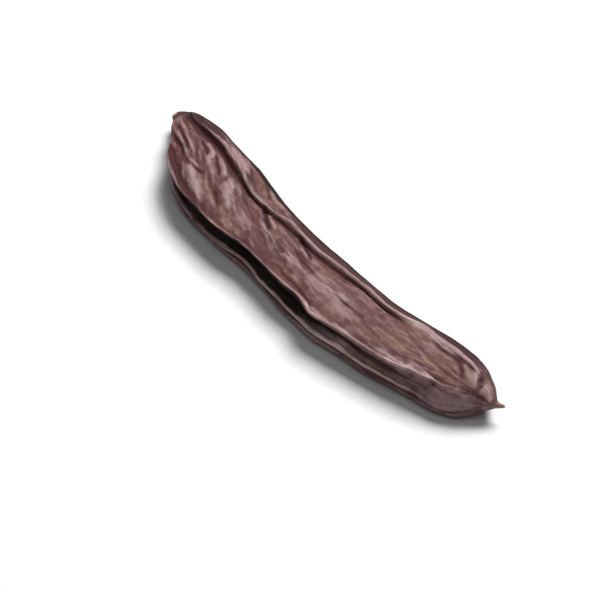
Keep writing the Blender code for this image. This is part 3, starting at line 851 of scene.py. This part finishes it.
WARM_STAINS = (
    (0.8, 0.0007, 0.0007, ((0.0127, -0.0098), (0.0172, -0.0118))),
    (0.6, 0.0009, 0.0009, ((0.0172, -0.0114), (0.0202, -0.0142))),
    (0.8, 0.0009, 0.0009, ((0.0307, -0.0120), (0.0387, -0.0153))),
    (1.3, 0.0009, 0.0008, ((0.0432, -0.0182), (0.0482, -0.0181), (0.0522, -0.0179))),
    (0.5, 0.0012, 0.0012, ((0.0587, -0.0109), (0.0632, -0.0139))),
    (0.5, 0.0016, 0.0016, ((0.0652, -0.0159), (0.0752, -0.0154))),
    (0.6, 0.0030, 0.0036, ((0.0852, -0.0119), (0.0952, -0.0119), (0.1072, -0.0094))),
    (0.9, 0.0005, 0.0005, ((0.1032, -0.0101), (0.1072, -0.0098), (0.1117, -0.0094))),
    (0.8, 0.0016, 0.0016, ((0.1112, -0.0074), (0.1152, -0.0066), (0.1212, -0.0064))),
)
# Maroon along creases and dark patches: partly the husk's colour, partly painted shade in the folds.
MAROON_AND_SHADE_STAINS = (
    (0.6, 0.0007, 0.0007, (
        (0.0162, -0.0134), (0.0202, -0.0156), (0.0252, -0.0174), (0.0302, -0.0186), (0.0322, -0.0192))),
    (0.6, 0.0005, 0.0005, ((0.0082, -0.0074), (0.0112, -0.0086), (0.0167, -0.0097), (0.0182, -0.0109))),
    (0.5, 0.0004, 0.0004, ((0.0234, -0.0116), (0.0269, -0.0118))),
    (0.4, 0.0009, 0.0009, ((0.0177, -0.0064), (0.0237, -0.0106))),
    (0.5, 0.0005, 0.0005, ((0.0252, -0.0058), (0.0307, -0.0090))),
    (0.4, 0.0008, 0.0008, ((0.0202, -0.0140), (0.0262, -0.0170))),
    (0.8, 0.0005, 0.0007, ((0.0467, -0.0066), (0.0512, -0.0089), (0.0547, -0.0109))),
    (0.5, 0.0005, 0.0007, ((0.0622, -0.0060), (0.0687, -0.0084))),
    (0.4, 0.0005, 0.0006, ((0.0382, -0.0070), (0.0422, -0.0088))),
    (0.5, 0.0016, 0.0016, ((0.0542, -0.0119), (0.0582, -0.0118), (0.0632, -0.0142))),
    (0.4, 0.0022, 0.0022, ((0.1112, -0.0062), (0.1162, -0.0066), (0.1212, -0.0060))),
    (1.3, 0.0008, 0.0008, ((0.0362, -0.0031), (0.0402, -0.0044), (0.0452, -0.0048))),
    (1.0, 0.0011, 0.0012, (
        (0.0002, -0.0006), (0.0047, -0.0009), (0.0082, -0.0012), (0.0132, -0.0016), (0.0172, -0.0018))),
    (0.8, 0.0007, 0.0007, ((0.0012, 0.0003), (0.0092, 0.0003), (0.0162, 0.0005))),
    (0.5, 0.0006, 0.0006, ((0.0632, -0.0167), (0.0662, -0.0154), (0.0692, -0.0147), (0.0727, -0.0166))),
    (0.6, 0.0005, 0.0004, ((0.0682, -0.0172), (0.0752, -0.0174), (0.0807, -0.0176))),
    (0.3, 0.0005, 0.0005, ((0.0832, -0.0114), (0.0907, -0.0114))),
    (0.3, 0.0005, 0.0005, ((0.0407, -0.0014), (0.0432, -0.0024), (0.0472, -0.0041))),
    (0.8, 0.0004, 0.0005, ((0.0337, -0.0026), (0.0372, -0.0035))),
    (0.8, 0.0006, 0.0006, (
        (0.1102, -0.0028), (0.1152, -0.0017), (0.1172, -0.0019), (0.1192, -0.0029), (0.1207, -0.0040))),
    (1.0, 0.0008, 0.0007, ((0.1220, 0.0002), (0.1242, -0.0011), (0.1259, -0.0036))),
    (0.5, 0.0012, 0.0012, ((0.1162, -0.0046), (0.1222, -0.0049), (0.1272, -0.0041))),
)

# Painted highlights and sheen over bloom, maroon with painted shade, and painted black shade, as numbers for
# the material.
pale = bands(PAINTED_HIGHLIGHT_BANDS) + fold_relief(BLOOM_AND_SHEEN_STAINS) * facing_up
warm = fold_relief(WARM_STAINS) * facing_up
dark = bands(MAROON_AND_SHADE_BANDS) + fold_relief(MAROON_AND_SHADE_STAINS) * facing_up
black = bands(BLACK_SHADE_BANDS)
streak = field(0.008, 0.0010, 61.0, slip=BEND * slow) + 0.6 * field(0.004, 0.0006, 73.0, slip=BEND * slow)
print(len(BLOOM_AND_SHEEN_STAINS) + len(WARM_STAINS) + len(MAROON_AND_SHADE_STAINS), "stains")

# %% [markdown]
# ## Laying the pod down
#
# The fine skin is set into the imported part's box, so that it has the part's size, and its
# lowest rims are pressed flat on Z = 0, where the pod rests.

# %% Laying the pod down
PRESSED = 0.0003  # how far the lowest rims are pressed flat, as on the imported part

low, high = skin.reshape(-1, 3).min(axis=0), skin.reshape(-1, 3).max(axis=0)
goal_low = np.array(part_low) - [0, 0, PRESSED]
fit = (np.array(part_high) - goal_low) / (high - low)
skin = (skin - low) * fit + goal_low
skin[:, :, 2] = np.maximum(skin[:, :, 2], 0)
print("fitted to the part by", fit.round(3))

# %% [markdown]
# ## What stands out and what is sunk
#
# Dust, dried bloom and painted sheen lighten the raised skin, and painted shade darkens the creases. How far
# a point stands out from the blurred skin round it says which it is. It is measured at two scales, and goes
# to the material as two numbers for each point.

# %% What stands out and what is sunk


def blurred(points, rings, segments):
    """The grid averaged over this many rings and segments each way."""
    padded = np.pad(points, ((rings, rings), (0, 0), (0, 0)), mode="edge")
    total = sum(padded[i : i + len(points)] for i in range(2 * rings + 1)) / (2 * rings + 1)
    return sum(np.roll(total, i, axis=1) for i in range(-segments, segments + 1)) / (2 * segments + 1)


def standing_out(rings, segments):
    """How far the skin stands out from its blurred self, in metres."""
    smoothed = blurred(blurred(skin, rings, segments), rings, segments)
    return ((skin - smoothed) * outward(skin)).sum(axis=2) * smooth_step(grip, 0.0, 0.5)


fine_height = standing_out(2, 3)
broad_height = standing_out(6, 10)
print("fine relief, mm:", round(float(np.abs(fine_height).mean()) * 1000, 4))
print("broad relief, mm:", round(float(np.abs(broad_height).mean()) * 1000, 4))

# %% [markdown]
# ## The mesh
#
# A sphere made by Blender already has the right faces: rings from pole to pole and no seam. Each of its
# points knows its ring and its place round, and is moved to that place of the skin. The relief, the stains
# and the painted light and shade go along as one number each.

# %% The mesh
SKIN_NUMBERS = {
    "fine": fine_height, "broad": broad_height, "scar": scar_mask,
    "pale": pale, "warm": warm, "dark": dark, "black": black, "streak": streak,
}


def pod_mesh():
    mesh = bpy.data.meshes.new("pod_skin")
    ball = bmesh.new()
    bmesh.ops.create_uvsphere(ball, u_segments=SEGMENT_COUNT, v_segments=RING_COUNT, radius=1.0)
    ball.to_mesh(mesh)
    ball.free()
    unit = np.empty(len(mesh.vertices) * 3)
    mesh.vertices.foreach_get("co", unit)
    unit = unit.reshape(-1, 3)
    ring = np.rint(RING_COUNT * (1 - np.arccos(np.clip(unit[:, 2], -1, 1)) / np.pi)).astype(int)
    place = np.rint(SEGMENT_COUNT * np.arctan2(unit[:, 1], unit[:, 0]) / (2 * np.pi)).astype(int)
    place %= SEGMENT_COUNT
    mesh.vertices.foreach_set("co", skin[ring, place].ravel())
    for name, values in SKIN_NUMBERS.items():
        layer = mesh.attributes.new(name, "FLOAT", "POINT")
        layer.data.foreach_set("value", values[ring, place].astype(np.float32))
    mesh.update()
    mesh.shade_smooth()
    return mesh


pod = bpy.data.objects.new("carob_husk", pod_mesh())
bpy.context.scene.collection.objects.link(pod)
print("pod:", len(pod.data.vertices), "points,", 2 * SEGMENT_COUNT * (RING_COUNT - 1), "triangles")

# %% [markdown]
# ## Shader maths
#
# A material is easier to read as sums than as a web of nodes. A Wire wraps the output of
# a node, and each sum or product on it adds one Math node. Every other node is added by
# one method of Recipe: its settings first, then what its sockets hold.

# %% Shader maths


class Wire:
    """A node's output, on which + - * / add Math nodes."""

    def __init__(self, recipe, socket):
        self.recipe = recipe
        self.socket = socket

    def maths(self, operation, *values):
        return self.recipe.add("ShaderNodeMath", {"operation": operation}, dict(enumerate(values)))

    def __add__(self, other):
        return self.maths("ADD", self, other)

    def __sub__(self, other):
        return self.maths("SUBTRACT", self, other)

    def __rsub__(self, other):
        return self.maths("SUBTRACT", other, self)

    def __mul__(self, other):
        return self.maths("MULTIPLY", self, other)

    def __truediv__(self, other):
        return self.maths("DIVIDE", self, other)

    __radd__ = __add__
    __rmul__ = __mul__

    def kept(self, low, high):
        """The value, held between two limits."""
        return self.maths("MINIMUM", self.maths("MAXIMUM", self, low), high)


class Recipe:
    """A material under construction."""

    def __init__(self, name):
        self.material = bpy.data.materials.new(name)
        self.material.use_nodes = True
        self.tree = self.material.node_tree
        self.shader = self.tree.nodes["Principled BSDF"]

    def add(self, kind, settings, sockets, output=0):
        """Add a node with its settings and its sockets' values or links, and wrap an output."""
        node = self.tree.nodes.new(kind)
        for name, value in settings.items():
            if name == "stops":
                for stop, (position, colour) in zip(self.ramp_stops(node, len(value)), value):
                    stop.position = position
                    stop.color = colour
            else:
                setattr(node, name, value)
        for name, value in sockets.items():
            self.feed(node.inputs[name], value)
        return Wire(self, node.outputs[output])

    def ramp_stops(self, node, count):
        stops = node.color_ramp.elements
        while len(stops) < count:
            stops.new(1.0)
        return stops

    def feed(self, socket, value):
        if isinstance(value, Wire):
            self.tree.links.new(value.socket, socket)
        else:
            socket.default_value = value

    def mix(self, factor, first, second, blend="MIX"):
        """Mix two colours."""
        settings = {"data_type": "RGBA", "blend_type": blend}
        return self.add("ShaderNodeMix", settings, {0: factor, 6: first, 7: second}, output=2)


# %% [markdown]
# ## The skin's finish
#
# The husk is dark purple-brown, warmer where it is thin over the pulp and maroon in its troughs and folds,
# partly its own colour and partly painted shade. Painted shade darkens its creases and makes the groove
# under the rim and the outer flank nearly black, and painted sheen over dried bloom makes its raised skin
# pinkish grey, with a painted highlight along the rib. It has the dull waxy sheen of leather: a little
# smoother on worn crests, rougher in the hollows. Fine noise breaks up the bands and stains, so that none of
# them has a clean edge.

# %% The skin's finish
PURPLE_BROWN = (0.080, 0.025, 0.027, 1)
WARM_BROWN = (0.128, 0.052, 0.027, 1)
# Pinkish grey: paler dried bloom with painted sheen.
BLOOM_SHEEN_PINK = (0.230, 0.145, 0.140, 1)
# Maroon: the husk's darker colour, also used for painted shade.
MAROON = (0.042, 0.0115, 0.0135, 1)
# Nearly black, for painted shade.
SHADE_BLACK = (0.012, 0.003, 0.003, 1)
# Painted highlight, above all on the rib's line.
PAINTED_HIGHLIGHT = (0.52, 0.39, 0.38, 1)
CORK = (0.36, 0.25, 0.17, 1)
FINE_SCALE = 0.00004  # metres of fine relief that count as fully raised
BROAD_SCALE = 0.00030


def husk_skin():
    recipe = Recipe("carob_husk_skin")
    places = recipe.add("ShaderNodeTexCoord", {}, {}, output="Object")

    def patches(size, stretch, detail, roughness=0.55):
        scaled = recipe.add(
            "ShaderNodeVectorMath", {"operation": "MULTIPLY"}, {0: places, 1: (1 / stretch, 1, 1)}
        )
        sockets = {"Vector": scaled, "Scale": 1 / size, "Detail": detail, "Roughness": roughness}
        return recipe.add("ShaderNodeTexNoise", {}, sockets, output="Fac")

    def number(name):
        return recipe.add("ShaderNodeAttribute", {"attribute_name": name}, {}, output="Fac")

    fine = number("fine") / FINE_SCALE
    broad = number("broad") / BROAD_SCALE
    scar = number("scar")
    streak = number("streak")
    blotches = patches(0.007, 1.6, 3.0) - 0.5
    mottle = patches(0.0011, 1.8, 4.0) - 0.5
    grain = patches(0.00035, 1.6, 3.0)

    warmth = (number("warm") * 0.9 + blotches * 2.8 + 0.1).kept(0.0, 1.0)
    skin_colour = recipe.mix(warmth, PURPLE_BROWN, WARM_BROWN)
    # Raised skin, pale stains and painted highlights turn pinkish grey: partly dust and dried bloom, partly
    # painted sheen.
    bloom_and_sheen_share = number("pale") * 0.75 + fine * 0.15 + broad * 0.15 + streak * 0.5 + mottle * 1.2
    skin_colour = recipe.mix(bloom_and_sheen_share.kept(0.0, 1.0), skin_colour, BLOOM_SHEEN_PINK)
    # Painted highlight where the pale weight passes 1, mostly on the rib.
    highlight_share = (number("pale") + mottle * 0.6 - 1.0).kept(0.0, 1.0)
    skin_colour = recipe.mix(highlight_share, skin_colour, PAINTED_HIGHLIGHT)
    # Maroon from the bands and stains: partly own colour, partly painted shade.
    shaded = (number("dark") - streak * 0.4 - mottle * 0.6).kept(0.0, 0.95)
    skin_colour = recipe.mix(shaded, skin_colour, MAROON)
    # Painted shade: skin lying below its blurred self, in creases and hollows, is darkened to maroon.
    crease_shade = (fine * -0.25 - broad * 0.35 - mottle * 0.6 - 0.05).kept(0.0, 1.0)
    skin_colour = recipe.mix(crease_shade, skin_colour, MAROON)
    # Painted shade, nearly black, in the groove and along the outer flank.
    black = (number("black") - mottle * 0.4).kept(0.0, 1.0)
    skin_colour = recipe.mix(black, skin_colour, SHADE_BLACK)
    skin_colour = recipe.mix(scar, skin_colour, CORK)
    recipe.feed(recipe.shader.inputs["Base Color"], skin_colour)

    roughness = 0.48 + (crease_shade + shaded + black) * 0.25 + (grain - 0.5) * 0.16
    recipe.feed(recipe.shader.inputs["Roughness"], (roughness + scar * 0.3).kept(0.3, 0.9))

    pores = recipe.add(
        "ShaderNodeBump", {}, {"Height": grain + mottle * 2.0, "Strength": 0.5, "Distance": 0.00008}
    )
    recipe.feed(recipe.shader.inputs["Normal"], pores)
    recipe.shader.inputs["Specular IOR Level"].default_value = 0.22
    return recipe.material


pod.data.materials.append(husk_skin())
print("skin nodes:", len(pod.data.materials[0].node_tree.nodes))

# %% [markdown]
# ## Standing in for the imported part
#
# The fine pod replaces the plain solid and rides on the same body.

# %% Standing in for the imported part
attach(pod, "root")
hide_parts("carob_pod")
